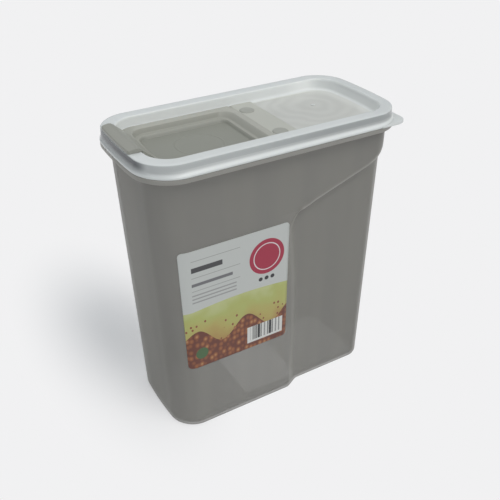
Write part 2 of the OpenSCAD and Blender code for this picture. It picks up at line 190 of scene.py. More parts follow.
# ---------------------------------------------------------------- meshes
def make_mesh(name, points, faces, material, body, smooth=True):
    """One object from points in mm and lists of face corners, riding on a body."""
    mesh = bpy.data.meshes.new(name)
    mesh.from_pydata((points * MM).tolist(), [], faces)
    mesh.polygons.foreach_set("use_smooth", [smooth] * len(mesh.polygons))
    mesh.materials.append(material)
    mesh.update()
    piece = bpy.data.objects.new(name, mesh)
    bpy.context.scene.collection.objects.link(piece)
    if body:
        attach(piece, body)
    return piece


def grid_faces(m, n, ring, loop):
    """Quads of a grid of m rows and n columns; ring joins the last column to the first, loop the rows."""
    i, j = np.meshgrid(np.arange(m if loop else m - 1), np.arange(n if ring else n - 1), indexing="ij")
    k, l = (i + 1) % m, (j + 1) % n
    return np.stack([i * n + j, i * n + l, k * n + l, k * n + j], -1).reshape(-1, 4).tolist()


def skin(name, p, material, body, loop=False, poles=None):
    """Closed skin over rows of points. Without loop, a fan to a pole at the rows' middle closes each end."""
    m, n = p.shape[:2]
    points, faces = p.reshape(-1, 3), grid_faces(m, n, True, loop)
    if not loop:
        poles = [p[0].mean(0), p[-1].mean(0)] if poles is None else poles
        j = np.arange(n)
        l = (j + 1) % n
        last = (m - 1) * n
        faces += np.stack([0 * j + m * n, l, j], -1).tolist()
        faces += np.stack([last + j, last + l, 0 * j + m * n + 1], -1).tolist()
        points = np.concatenate([points, poles])
    return make_mesh(name, points, faces, material, body)


def paint(piece, name, values):
    """Stores one number per vertex under a name, for a material to read; missing poles repeat the last."""
    full = np.full(len(piece.data.vertices), float(np.ravel(values)[-1]), np.float32)
    full[: np.size(values)] = np.ravel(values)
    piece.data.attributes.new(name, "FLOAT", "POINT").data.foreach_set("value", full)


def prism(name, p, material, body):
    """Bar through slices of the same closed section, with flat end faces."""
    m, n = p.shape[:2]
    faces = grid_faces(m, n, True, False)
    faces += [list(range(n))[::-1], list(range((m - 1) * n, m * n))]
    piece = make_mesh(name, p.reshape(-1, 3), faces, material, body)
    return piece


def soften(piece, width, segments=3, angle=40):
    """Rounds the edges that turn by more than angle degrees."""
    bevel = piece.modifiers.new("soft_edges", "BEVEL")
    bevel.width, bevel.segments = width * MM, segments
    bevel.limit_method, bevel.angle_limit = "ANGLE", math.radians(angle)
    bevel.harden_normals = False
    return piece


# ---------------------------------------------------------------- materials
def linear(hex_colour):
    """sRGB hex to linear light: each channel by the sRGB curve."""
    c = np.array([int(hex_colour[k:k + 2], 16) for k in (1, 3, 5)]) / 255
    c = np.where(c <= 0.04045, c / 12.92, ((c + 0.055) / 1.055) ** 2.4)
    return (*c.tolist(), 1.0)


def add(tree, kind, inputs=None, **settings):
    """Adds a node with its settings, its input values and its links, and returns it."""
    made = tree.nodes.new(kind)
    for key, value in settings.items():
        setattr(made, key, value)
    for key, value in (inputs or {}).items():
        if isinstance(value, bpy.types.NodeSocket):
            tree.links.new(value, made.inputs[key])
        else:
            made.inputs[key].default_value = value
    return made


def blank(name):
    """A material with an empty node tree and its output."""
    material = bpy.data.materials.new(name)
    material.use_nodes = True
    material.node_tree.nodes.clear()
    return material, material.node_tree, material.node_tree.nodes.new("ShaderNodeOutputMaterial")


def moulded_skin(tree, grain_mm, depth_mm):
    """Bump of a moulded surface: fine mould texture and the slow waviness left by shrinkage."""
    place = add(tree, "ShaderNodeTexCoord").outputs["Object"]
    fine = add(tree, "ShaderNodeTexNoise", {"Vector": place, "Scale": 1 / (grain_mm * MM), "Detail": 3.0})
    slow = add(tree, "ShaderNodeTexNoise", {"Vector": place, "Scale": 1 / (38 * MM), "Detail": 1.0})
    soft = add(tree, "ShaderNodeBump", {"Height": slow.outputs[0], "Distance": 0.5 * MM, "Strength": 0.5})
    return add(tree, "ShaderNodeBump", {"Height": fine.outputs[0], "Distance": depth_mm * MM,
                                        "Strength": 0.6, "Normal": soft.outputs[0]}).outputs[0]


def cloudy(tree, colour_a, colour_b, scale_mm):
    """Slow change between two near colours, as in moulded plastic of uneven thickness."""
    place = add(tree, "ShaderNodeTexCoord").outputs["Object"]
    noise = add(tree, "ShaderNodeTexNoise", {"Vector": place, "Scale": 1 / (scale_mm * MM), "Detail": 2.0})
    ramp = add(tree, "ShaderNodeMapRange", {"Value": noise.outputs[0], "From Min": 0.25, "From Max": 0.75},
               interpolation_type="SMOOTHERSTEP")
    return add(tree, "ShaderNodeMix", {0: ramp.outputs[0], 6: linear(colour_a), 7: linear(colour_b)},
               data_type="RGBA").outputs[2]


def attribute(tree, name):
    return add(tree, "ShaderNodeAttribute", attribute_name=name).outputs["Fac"]


def smoky_polypropylene():
    """Smoke-grey polypropylene, injection moulded. Light passes each wall in part, so the floor's raised
    panel and the far corners show faintly; flow lines from the mould run up the walls; satin gloss."""
    material, tree, out = blank("smoky_polypropylene")
    place = add(tree, "ShaderNodeTexCoord").outputs["Object"]
    # flow lines some 12 mm apart and 250 mm long, drawn wider than they are so that they show
    stretch = add(tree, "ShaderNodeMapping", {"Vector": place, "Scale": (80, 80, 4)}).outputs[0]
    lines = add(tree, "ShaderNodeTexNoise", {"Vector": stretch, "Scale": 1.0, "Detail": 0.0}).outputs[0]
    milky = add(tree, "ShaderNodeMapRange", {"Value": lines, "From Min": 0.2, "From Max": 0.8},
                interpolation_type="SMOOTHERSTEP").outputs[0]
    colour = add(tree, "ShaderNodeMix", {0: milky, 6: linear("#9b9993"), 7: linear("#9f9d96")},
                 data_type="RGBA").outputs[2]
    # the thick attribute pales the colour: the collar's doubled wall, and as painted highlight the crease
    # over the recess
    shade = add(tree, "ShaderNodeMix", {0: attribute(tree, "thick"), 6: colour, 7: linear("#dcdad4")},
                data_type="RGBA").outputs[2]
    # a wall seen edge-on hides more, because light crosses more of it
    edge_on = add(tree, "ShaderNodeLayerWeight", {"Blend": 0.35}).outputs["Facing"]
    longer = add(tree, "ShaderNodeMath", {0: edge_on, 1: 3.0}, operation="POWER").outputs[0]
    hidden = add(tree, "ShaderNodeMix", {0: longer, 2: attribute(tree, "cover"), 3: 1.0}).outputs[0]
    shader = add(tree, "ShaderNodeBsdfPrincipled", {
        "Base Color": shade, "Roughness": 0.46, "IOR": 1.49, "Specular IOR Level": 0.2, "Alpha": hidden})
    tree.links.new(shader.outputs[0], out.inputs[0])
    return material


def white_polypropylene():
    """Natural white polypropylene, satin from the mould. Where one wall lies over the dark inside, the
    light that gets through isn't returned, so the deck looks greyer than the hollow rim; faint rings of
    flow spread on it from the gate. Two more tones are painted by place on the lid, for looks and not
    worked out from light: backlit is painted light that lightens and glows weakly, and a painted shade
    darkens to blue-grey."""
    material, tree, out = blank("white_polypropylene")
    colour = cloudy(tree, "#e0e4e3", "#e4e8e7", 70)
    place = add(tree, "ShaderNodeMapping", {
        "Vector": add(tree, "ShaderNodeTexCoord").outputs["Object"],
        "Location": (-GATE[0] * MM, -GATE[1] * MM, 0)}).outputs[0]
    # rings of flow about 10 mm apart round the gate: 20 * scale * 0.010 m = one turn
    flow = add(tree, "ShaderNodeTexWave", {
        "Vector": place, "Scale": 31, "Distortion": 5, "Detail Scale": 1.2},
        wave_type="RINGS", rings_direction="Z").outputs["Fac"]
    deck = add(tree, "ShaderNodeMix", {0: flow, 6: linear("#cdcec9"), 7: linear("#d3d4cf")},
               data_type="RGBA").outputs[2]
    shade = add(tree, "ShaderNodeMix", {0: attribute(tree, "single_wall"), 6: colour, 7: deck},
                data_type="RGBA").outputs[2]
    shade = add(tree, "ShaderNodeMix", {0: attribute(tree, "backlit"), 6: shade,
                                        7: linear("#f3f5f3")}, data_type="RGBA").outputs[2]
    # painted shade: blue-grey where the lid is painted dark
    shade = add(tree, "ShaderNodeMix", {0: attribute(tree, "painted_shade"), 6: shade,
                                        7: linear("#2a333c")}, data_type="RGBA").outputs[2]
    shader = add(tree, "ShaderNodeBsdfPrincipled", {
        "Base Color": shade, "Roughness": 0.2, "IOR": 1.49,
        "Subsurface Weight": 0.4, "Subsurface Scale": 0.003, "Subsurface Radius": (1.0, 1.0, 0.95),
        "Emission Color": linear("#6c6e6c"), "Emission Strength": attribute(tree, "backlit"),
        "Normal": moulded_skin(tree, 0.7, 0.004)})
    tree.links.new(shader.outputs[0], out.inputs[0])
    return material


def grey_polypropylene(name, light, deep):
    """Grey polypropylene, satin. Over the pouring opening it looks deeper than over the white deck; the
    tone painted by place is partly painted shade, darker down in the flap's dish and at its spout end.
    """
    material, tree, out = blank(name)
    colour = cloudy(tree, light, light, 50)
    # painted tone towards deep: over the opening, and as painted shade down in the dish
    shade = add(tree, "ShaderNodeMix", {0: attribute(tree, "tone_and_painted_shade"), 6: colour, 7: linear(deep)},
                data_type="RGBA").outputs[2]
    shader = add(tree, "ShaderNodeBsdfPrincipled", {
        "Base Color": shade, "Roughness": 0.36, "IOR": 1.49,
        "Normal": moulded_skin(tree, 0.7, 0.006)})
    tree.links.new(shader.outputs[0], out.inputs[0])
    return material


def printed_film():
    """Printed self-adhesive film with a satin varnish: a white head with grey rules and a red disc over
    a field of yellow-green that deepens to amber, with round grains, a stripe panel and a green spot."""
    material, tree, out = blank("printed_film")
    uv = add(tree, "ShaderNodeSeparateXYZ", {0: add(tree, "ShaderNodeUVMap", uv_map="film").outputs[0]})
    u, v = uv.outputs[0], uv.outputs[1]  # in centimetres from the film's lower left corner

    def calc(operation, *values):
        return add(tree, "ShaderNodeMath", dict(enumerate(values)), operation=operation).outputs[0]

    def above(value, edge):
        """1 where value passes edge, soft over a tenth of a millimetre."""
        return add(tree, "ShaderNodeMapRange", {"Value": calc("SUBTRACT", value, edge),
                                                "From Min": -0.01, "From Max": 0.01}).outputs[0]

    def box(u0, u1, v0, v1):
        sides = calc("MULTIPLY", above(u, u0), calc("SUBTRACT", 1.0, above(u, u1)))
        ends = calc("MULTIPLY", above(v, v0), calc("SUBTRACT", 1.0, above(v, v1)))
        return calc("MULTIPLY", sides, ends)

    def spot(cu, cv, r):
        du, dv = calc("SUBTRACT", u, cu), calc("SUBTRACT", v, cv)
        span = calc("SQRT", calc("ADD", calc("MULTIPLY", du, du), calc("MULTIPLY", dv, dv)))
        return calc("SUBTRACT", 1.0, above(span, r))

    def over(base, mask, colour):
        colour = linear(colour) if isinstance(colour, str) else colour
        return add(tree, "ShaderNodeMix", {0: mask, 6: base, 7: colour}, data_type="RGBA").outputs[2]

    def wavy(level, height, turns):
        """level plus a sine of the given height; turns is in radians to the centimetre."""
        return calc("ADD", level, calc("MULTIPLY", calc("SINE", calc("MULTIPLY", u, turns)), height))

    # the field: yellow-green above, amber below, with a slow drift
    flat = add(tree, "ShaderNodeCombineXYZ", {0: u, 1: v}).outputs[0]
    drift = add(tree, "ShaderNodeTexNoise", {"Vector": flat, "Scale": 0.5, "Detail": 2.0}).outputs[0]
    height = calc("ADD", v, calc("MULTIPLY", calc("SUBTRACT", drift, 0.5), 4.0))
    ramp = add(tree, "ShaderNodeValToRGB", {0: calc("DIVIDE", height, 5.4)})
    ramp.color_ramp.elements[0].color = linear("#a37a48")
    ramp.color_ramp.elements[1].color = linear("#c6cc92")
    for place, colour in ((0.3, "#b4935a"), (0.55, "#bdb06a"), (0.8, "#b9bf74")):
        ramp.color_ramp.elements.new(place).color = linear(colour)
    art = ramp.outputs[0]
    # two rounded mounds and the grains on them
    mound = calc("SUBTRACT", 1.0, above(v, wavy(2.6, 0.75, 1.55)))
    cells = add(tree, "ShaderNodeTexVoronoi", {"Vector": add(tree, "ShaderNodeCombineXYZ", {
        0: calc("MULTIPLY", u, 1.25), 1: v}).outputs[0], "Scale": 2.1, "Randomness": 0.6}).outputs["Distance"]
    husk = add(tree, "ShaderNodeValToRGB", {0: cells})
    husk.color_ramp.elements[0].color = linear("#c39a6c")
    husk.color_ramp.elements[1].color = linear("#6e3d30")
    husk.color_ramp.elements[1].position = 0.62
    husk.color_ramp.elements.new(0.3).color = linear("#a1653f")
    art = over(art, mound, husk.outputs[0])
    loose = calc("SUBTRACT", 1.0, above(v, wavy(3.9, 0.5, 0.8)))
    grain = calc("MULTIPLY", calc("SUBTRACT", 1.0, above(cells, 0.24)), loose)
    art = over(art, calc("MULTIPLY", grain, calc("SUBTRACT", 1.0, mound)), "#8f563d")
    # the white head
    head = above(v, wavy(5.1, 0.3, 0.35))
    art = over(art, head, "#cdd0cd")
    for v_rule in (9.35, 8.0, 6.9):
        art = over(art, box(0.7, 4.5, v_rule, v_rule + 0.04), "#9a9a98")
    art = over(art, box(0.7, 3.1, 8.45, 8.85), "#4a4a4c")
    art = over(art, box(0.7, 3.9, 7.3, 7.55), "#77777a")
    for v_rule in (6.5, 6.2, 5.9):
        art = over(art, box(0.7, 4.2, v_rule, v_rule + 0.11), "#a4a4a4")
    art = over(art, spot(6.7, 7.9, 1.45), "#ab2f49")
    art = over(art, calc("SUBTRACT", spot(6.7, 7.9, 1.12), spot(6.7, 7.9, 1.04)), "#e9dfe0")
    for u_dot in (6.2, 6.7, 7.2):
        art = over(art, spot(u_dot, 6.05, 0.17), "#333336")
    # the stripe panel and the green spot
    art = over(art, box(5.1, 8.2, 0.5, 2.0), "#e4e4e0")
    stripes = above(calc("FRACT", wavy(calc("MULTIPLY", u, 7.0), 0.45, 19.0)), 0.5)
    art = over(art, calc("MULTIPLY", stripes, box(5.35, 7.95, 0.7, 2.0)), "#26262a")
    art = over(art, spot(1.3, 1.25, 0.5), "#4d6b45")
    shader = add(tree, "ShaderNodeBsdfPrincipled", {"Base Color": art, "Roughness": 0.38, "IOR": 1.5})
    tree.links.new(shader.outputs[0], out.inputs[0])
    return material


SMOKY = smoky_polypropylene()
WHITE = white_polypropylene()
SPOUT_GREY = grey_polypropylene("grey_polypropylene", "#b4b4ab", "#93948b")
STRIP_GREY = grey_polypropylene("pale_grey_polypropylene", "#c2c3ba", "#a9aaa2")
FILM = printed_film()


# ---------------------------------------------------------------- container
def recess_edge(z):
    """Where the recess's upright edge stands at height z: it leans towards the spout, then turns back."""
    lean_top = RECESS_TOP - 18
    low = RECESS_X - 6 * (z / lean_top) ** 4
    high = RECESS_X - 6 + 7 * ((np.minimum(z, RECESS_TOP) - lean_top) / 16) ** 2
    return np.where(z < lean_top, low, high)


def side_at(place, follow, z):
    """Where a side column stands at height z. A column that follows the recess's upright edge crosses
    its slope, which widens towards the foot with the square of the height left below 22 mm."""
    width = RECESS_SLOPE + 2 + 5 * np.clip(1 - z / 22, 0, 1) ** 2
    return np.where(follow, recess_edge(z) - 1 + width * place, place + 0 * z)


def wall_columns():
    """Columns of the container's front half: segment, place, share of the recess, whether it crosses
    the slope at the recess's upright edge."""
    seg, place, share, follow = [], [], [], []

    def put(k, places, part, moving=False):
        seg.append(np.full(len(places), k))
        place.append(np.asarray(places, float))
        share.append(np.broadcast_to(part, len(places)))
        follow.append(np.full(len(places), moving))

    put(0, np.arange(10) / 10, 0)
    put(1, np.arange(25) / 24, 0)
    put(2, np.linspace(-62, -4, 16), 0)
    slope = np.linspace(0, 1, 25)
    put(2, slope, ramp(slope), True)
    put(2, np.linspace(29, 74, 16), 1)
    put(3, np.arange(25) / 24, 1)
    put(4, np.arange(1, 11) / 10, 1)
    return [np.concatenate(a) for a in (seg, place, share, follow)]


def crease(seg, place, follow):
    """Upper height and drop of the recess's upper edge at each column. It bends from level into its
    climb along a hyperbola, keeps that slope along the side, and round the corner a cubic carries it
    from that slope to level at the end."""
    along = np.where(follow, RECESS_X + (RECESS_SLOPE + 2) * place, place) - 15
    climb = RECESS_TOP + RECESS_RISE * (along + np.sqrt(along ** 2 + 9)) / 2
    start = RECESS_TOP + RECESS_RISE * (BASE[1] + DRAFT[1] - BASE[4] - 15)
    run, gain = RECESS_RISE * BASE[4] * np.pi / 2, RECESS_END_Z - start
    corner = start + run * place + (3 * gain - 2 * run) * place ** 2 + (run - 2 * gain) * place ** 3
    top = np.select([seg < 2, seg == 2, seg == 3], [RECESS_TOP + 0 * place, climb, corner], RECESS_END_Z)
    drop = np.select([seg < 3, seg == 3], [4.4 + 0 * place, 4.4 + 8.2 * ease(place)], 12.6)
    return top, drop


def wall_points(z, weight, inset, cols):
    """Points of the walls at heights z drawn in by inset: the plain outline blended with the recess's
    outline by weight."""
    seg, place, _, follow = cols
    lean = z / COLLAR_Z
    left, right, half = (BASE[k] + DRAFT[k] * lean for k in range(3))
    t = side_at(place, follow, z)
    plain = around(left + inset, right - inset, half - inset, BASE[3] - inset, BASE[4] - inset,
                   BOW, seg, t, t)
    deep = around(left + inset, right - RECESS_END - inset, half - RECESS_SIDE - inset, BASE[3] - inset,
                  RECESS_R - inset, BOW, seg, t, t)
    x, y = (a + (b - a) * weight for a, b in zip(plain, deep))
    return np.stack([x, y, z + 0 * x], -1)


def wall_rows(inset, cols, low, high):
    """Rows of the walls from height low up to height high: plain rows, the crease's rows, plain rows."""
    seg, place, share, follow = cols
    top, drop = crease(seg, place, follow)
    v_low = np.sin(np.linspace(0, 1, 56) * np.pi / 2)[:, None]
    v_crease = np.linspace(0, 1, 19)[1:, None]
    v_high = np.linspace(0, 1, 12)[1:, None] ** 1.8
    z = np.concatenate([low + (top - drop - low) * v_low, top - drop * (1 - v_crease),
                        top + (high - top) * v_high])
    weight = share * np.concatenate([1 + 0 * v_low, ramp(1 - v_crease), 0 * v_high])
    return wall_points(z, weight, inset, cols)


def foot_rows(radius, floor_z, inset, cols):
    """Quarter-circle foot of the walls: height and inset follow the circle."""
    turn = np.linspace(0, np.pi / 2, 9)[:-1, None]
    z = floor_z + radius * (1 - np.cos(turn))
    return wall_points(z, cols[2] + 0 * z, inset + radius * (1 - np.sin(turn)), cols)


def mouth_rows(path, radius, cols):
    """Rows of the collar and mouth: a rounded section of rim outlines on the walls' columns."""
    seg, place, _, follow = cols
    rows = rounded([rim(o, z) for o, z in path], radius, 4)[:, :, None]
    t = side_at(place, follow, COLLAR_Z)[None]
    x, y = around(*[rows[:, k] for k in range(6)], seg[None], t, t)
    return np.stack([x, y, rows[:, 6] + 0 * x], -1)


def container():
    """The container's skin: up the outside, over the collar and mouth, down the inside, and over the
    floor, whose rows turn into the raised panel's outline and shrink to its middle."""
    cols = wall_columns()
    outer = [foot_rows(FOOT_R, 0, 0, cols), wall_rows(0, cols, FOOT_R, COLLAR_Z - 1.2)]
    mouth = mouth_rows([
        (-1.6, COLLAR_Z), (COLLAR_OUT, COLLAR_Z), (COLLAR_OUT, COLLAR_TOP), (MOUTH_OUT, COLLAR_TOP),
        (MOUTH_OUT, MOUTH_TOP), (MOUTH_OUT - MOUTH_T, MOUTH_TOP), (MOUTH_OUT - MOUTH_T, COLLAR_Z + 2.4)],
        [0, 0.7, 0.6, 0.5, 0.7, 0.7, 0], cols)
    inner = wall_rows(WALL_T, cols, BASE_T + FOOT_R - WALL_T, COLLAR_Z - 0.6)[::-1]
    foot = foot_rows(FOOT_R - WALL_T, BASE_T, WALL_T, cols)[::-1]
    front = np.concatenate(outer + [mouth, inner, foot])
    p = both_halves(front)
    # raised panel: a superellipse that is nearly a rectangle
    middle, half_l, half_w, rise = PANEL
    edge = p[-1, :, :2] - [middle, 0]
    way = edge / np.linalg.norm(edge, axis=1, keepdims=True)
    reach = (np.abs(way[:, 0] / half_l) ** 16 + np.abs(way[:, 1] / half_w) ** 16) ** (-1 / 16)
    panel = way * reach[:, None]
    ring = [edge + (panel * 1.04 - edge) * k for k in (0.35, 0.7, 1.0)] + [panel * k for k in
            (1.025, 1.015, 1.0, 0.99, 0.975, 0.8, 0.5, 0.2)]
    level = np.array([0, 0, 0, 0.04, 0.3, 0.7, 0.96, 1, 1, 1, 1]) * rise + BASE_T
    floor = np.stack([np.concatenate([r + [middle, 0], np.full((len(r), 1), z)], 1)
                      for r, z in zip(ring, level)])
    under = p[:1] * [0.6, 0.6, 0]
    p = np.concatenate([under, p, floor])
    piece = skin("container_shell", p, SMOKY, "container",
                 poles=[[middle, 0, 0], [middle, 0, BASE_T + rise]])
    # share of light that a face holds back: walls, collar and foot, floor, raised panel
    cover = np.full(p.shape[:2], 0.56)
    thick = np.zeros(p.shape[:2])
    first = 1 + len(outer[0]) + len(outer[1])
    last = first + len(mouth)
    # the collar and mouth are drawn paler: their doubled wall, and partly painted light
    thick[first:last] = 0.35
    cover[first:last] = 0.7
    cover[-len(floor):] = 0.52
    cover[-7:] = 0.26
    cover[:2] = 0.3
    # painted highlight: the wall is drawn paler and more opaque along the crease over the recess, and faintly
    # where it turns down beside it
    top, _ = crease(cols[0], cols[1], cols[3])
    bend = np.exp(-((outer[1][:, :, 2] - top + 1.7) / 2.6) ** 2) * np.minimum(2 * cols[2], 1)
    upright = np.exp(-((cols[1] - 0.4) / 0.35) ** 2) * cols[3] * (outer[1][:, :, 2] < top)
    half = np.maximum(0.9 * bend, 0.2 * upright)
    bent = np.concatenate([half, half[:, -2:0:-1]], 1)
    thick[1 + len(outer[0]):first] = bent
    cover[1 + len(outer[0]):first] += 0.3 * bent
    paint(piece, "cover", cover)
    paint(piece, "thick", thick)
    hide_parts("container_body")


# ---------------------------------------------------------------- lid
LID_COUNTS = (8, 22, 64)


def lid():
    """The lid's skin: a loop of rows from the pouring opening out under the deck, up inside the hollow
    rim, round the bead, over the rim and back across the deck."""
    opening = (DISH[0] - FLAP_T - 1, DISH[1] + FLAP_T + 0.5, DISH[2] + FLAP_T + 0.5, 9, 9)
    deck_bottom = DECK_TOP - LID_T
    plug, ceiling, inside = LID_T - RIM_BAND, TOTAL_H - 1.8, -LID_T
    foot = -RIM_BAND - DECK_FILLET
    under = grown(opening, 0, deck_bottom, 0)
    over = grown(opening, 0, DECK_TOP, 0)
    seam = grown(opening, 0, (deck_bottom + DECK_TOP) / 2, 0)
    section = [
        (seam, 0), (under, 0.3),
        *[(r, 0) for r in between(under, rim(plug - 3, deck_bottom), 10)],
        (rim(plug - 3, deck_bottom), 0),
        (rim(plug, deck_bottom), 0.8),
        (rim(plug, ceiling), 0.6),
        (rim(inside, ceiling), 0.6),
        (rim(inside, BEAD_Z), 0.3),
        (rim(BEAD_OUT, BEAD_Z), 0.35),
        (rim(BEAD_OUT, BEAD_Z + 1.3), 0.4),
        (rim(1.2, BEAD_Z + 2.2), 0.9),
        (rim(0.4, BEAD_Z + 3.7), 1.2),
        (rim(0.1, BEAD_Z + 5.6), 1.0),
        (rim(0, TOTAL_H - 0.2), 2.2),
        (rim(-1.3, TOTAL_H), 1.2),
        (np.add(rim(-RIM_BAND, TOTAL_H), [0, LEAN, 0, 0, 0, 0, 0]), 1.3),
        (rim(-RIM_BAND, DECK_TOP + DECK_FILLET), 0),
        *[(rim(-RIM_BAND - DECK_FILLET * (1 - math.cos(a)), DECK_TOP + DECK_FILLET * (1 - math.sin(a))), 0)
          for a in np.linspace(0, np.pi / 2, 9)[1:-1]],
        (rim(foot, DECK_TOP), 0),
        *[(r, 0) for r in between(rim(foot, DECK_TOP), over, 12)],
        (over, 0.3), (seam, 0)]
    rows = rounded([r for r, _ in section], [r for _, r in section])[:-1]
    p = loft(rows, LID_COUNTS)
    piece = skin("lid_moulding", p, WHITE, "lid", loop=True)
    x, y = p[:, :, 0], p[:, :, 1]
    out, z = rows[:, 2, None] - RIM_W, rows[:, 6, None]
    inner = out < 0.01 - RIM_BAND
    paint(piece, "single_wall", inner * ease((DECK_TOP + 0.5 - z) / 0.5) + 0 * x)
    # painted light: the fillet, the wall over it (most near x = 68) and the bead, less at the spout end
    fillet = inner * (out > -RIM_BAND - DECK_FILLET - 0.1) * np.exp(-((z - DECK_TOP - 0.9) / 1.2) ** 2)
    wall = (np.abs(out + RIM_BAND) < 0.6) * ease((TOTAL_H - z) / 0.6)
    led = 0.48 + 0.35 * np.exp(-((x - 68) / 10) ** 2) - 0.28 * ease((x - 74) / 12)
    bead = (out > 0.2) * ease((z - BEAD_Z - 0.6) / 1.6)
    paint(piece, "backlit", np.maximum(0.45 * fillet, wall * led)
          + 0.4 * bead * ease((x + 92) / 20))
    # painted shade: the skirt up to the rim's edge, a deep band of shade on the spout end under the finger
    # bar, and the rim's top, slightly, on the tab's end; on the back only rows outside the rim's edge have it
    upper = ease((TOTAL_H + 0.1 - z) / 1.1) * ease((out + 2.4) / 1.6)
    side = (0.3 + 0.17 * ease((x + 50) / 100)) * ease((z - BEAD_Z - 2.4) / 1.8) * upper
    end = ease((-92 - x) / 8.5) * ease((z - BEAD_Z) / 6.5) * upper
    top = 0.06 * ease((x - 50) / 40) * (z > TOTAL_H - 0.3)
    paint(piece, "painted_shade", np.maximum(np.maximum(side, end), top) * np.where(y < 30, 1, out > -0.3))
    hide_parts("lid")
    low, high = DECK_TOP - 0.3, DECK_TOP + GATE_H
    path = rounded([(0.3, low), (GATE_R, low), (GATE_R, high), (0.3, high)], 0.3, 4, (0, 1))
    mark = skin("gate_mark", rings(all_round(32), *GATE, path), WHITE, "lid")
    paint(mark, "single_wall", np.full(len(mark.data.vertices), 0.5))
    paint(mark, "backlit", np.full(len(mark.data.vertices), 0.1))
    paint(mark, "painted_shade", np.zeros(len(mark.data.vertices)))


def pull_tab():
    """Corner plate outside the bead: each column runs from the bead's outline out to a squarer corner,
    over its rounded edge and back underneath."""
    n = 44
    tab_x, tab_y, side, r, thick = 100.6, 50.8, 24.0, 10.0, 1.2
    run = np.linspace(0, 1, n)
    # outer edge: side, quarter circle, end, by length
    lengths = np.array([side - r, r * np.pi / 2, side - r])
    s = run * lengths.sum()
    turn = np.clip((s - lengths[0]) / r, 0, np.pi / 2)
    x = np.where(s < lengths[0], tab_x - side + s, tab_x - r + r * np.sin(turn))
    past = s - lengths[0] - lengths[1]
    y = -tab_y + r + np.where(past > 0, past, -r * np.cos(turn))
    outer = np.stack([x, y], -1)
    # inner edge: inside the bead, from the side to the end of the same corner
    row = rim(1.2, 0)
    half_turn = np.linspace(0, 1, n)
    cx, cy = row[1] - row[4], -(row[2] - row[4])
    angle = -np.pi / 2 + half_turn * np.pi / 2
    inner = np.stack([cx + row[4] * np.cos(angle), cy + row[4] * np.sin(angle)], -1)
    inner[:, 0] *= 1 - BOW * (inner[:, 1] / row[2]) ** 2
    low = BEAD_Z + 0.02
    ring = []
    for share, z in ((0, 0), (0.5, 0), (1, 0), (1, thick), (0.5, thick), (0, thick)):
        xy = inner + (outer - inner) * share
        ring.append(np.concatenate([xy, np.full((n, 1), low + z)], 1))
    piece = prism("pull_tab", np.stack(ring, 1), WHITE, "lid")
    paint(piece, "single_wall", np.full(6 * n, 0.15))
    for plain in ("backlit", "painted_shade"):
        paint(piece, plain, np.zeros(6 * n))
    soften(piece, 0.45, 3, 50)


def hinge_strip():
    """Strip across the deck whose ends slope with the fillet, and the two studs that hold it."""
    x0, x1 = STRIP_X
    half, low_half = RIM_W - RIM_BAND - 1.2, RIM_W - RIM_BAND - DECK_FILLET - 0.2

    def row(hw, z, d=0.0):
        return [x0 + d, x1 - d, hw - d, 1.5, 1.5, 0, z]

    rows = rounded([row(low_half, DECK_TOP, 4), row(low_half, DECK_TOP), row(half, FLAP_TOP - 0.6),
                    row(half, FLAP_TOP), row(half, FLAP_TOP, 4)], [0, 0.1, 0.2, 0.35, 0], 4)
    piece = skin("hinge_strip_moulding", loft(rows, (4, 6, 4)), STRIP_GREY, "lid")
    paint(piece, "tone_and_painted_shade", np.zeros(len(piece.data.vertices)))
    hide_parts("hinge_strip")
    barb = DECK_TOP - LID_T - 0.2
    section = [(0.4, FLAP_TOP + 0.72), (4.9, FLAP_TOP + 0.7), (5.6, FLAP_TOP + 0.2), (5.6, FLAP_TOP - 0.5),
               (STUD_R, FLAP_TOP - 0.5), (STUD_R, barb), (STUD_R + 0.7, barb), (STUD_R + 0.7, barb - 0.5),
               (STUD_R - 1, barb - 2.6), (0.4, barb - 2.6)]
    path = rounded(section[::-1], 0.5, 4, (0, 1))
    for name, side in (("front_stud", -1), ("back_stud", 1)):
        stud = skin(name, rings(all_round(48), STUD_X, side * STUD_Y, path), STRIP_GREY, "lid")
        paint(stud, "tone_and_painted_shade", np.ones(len(stud.data.vertices)))


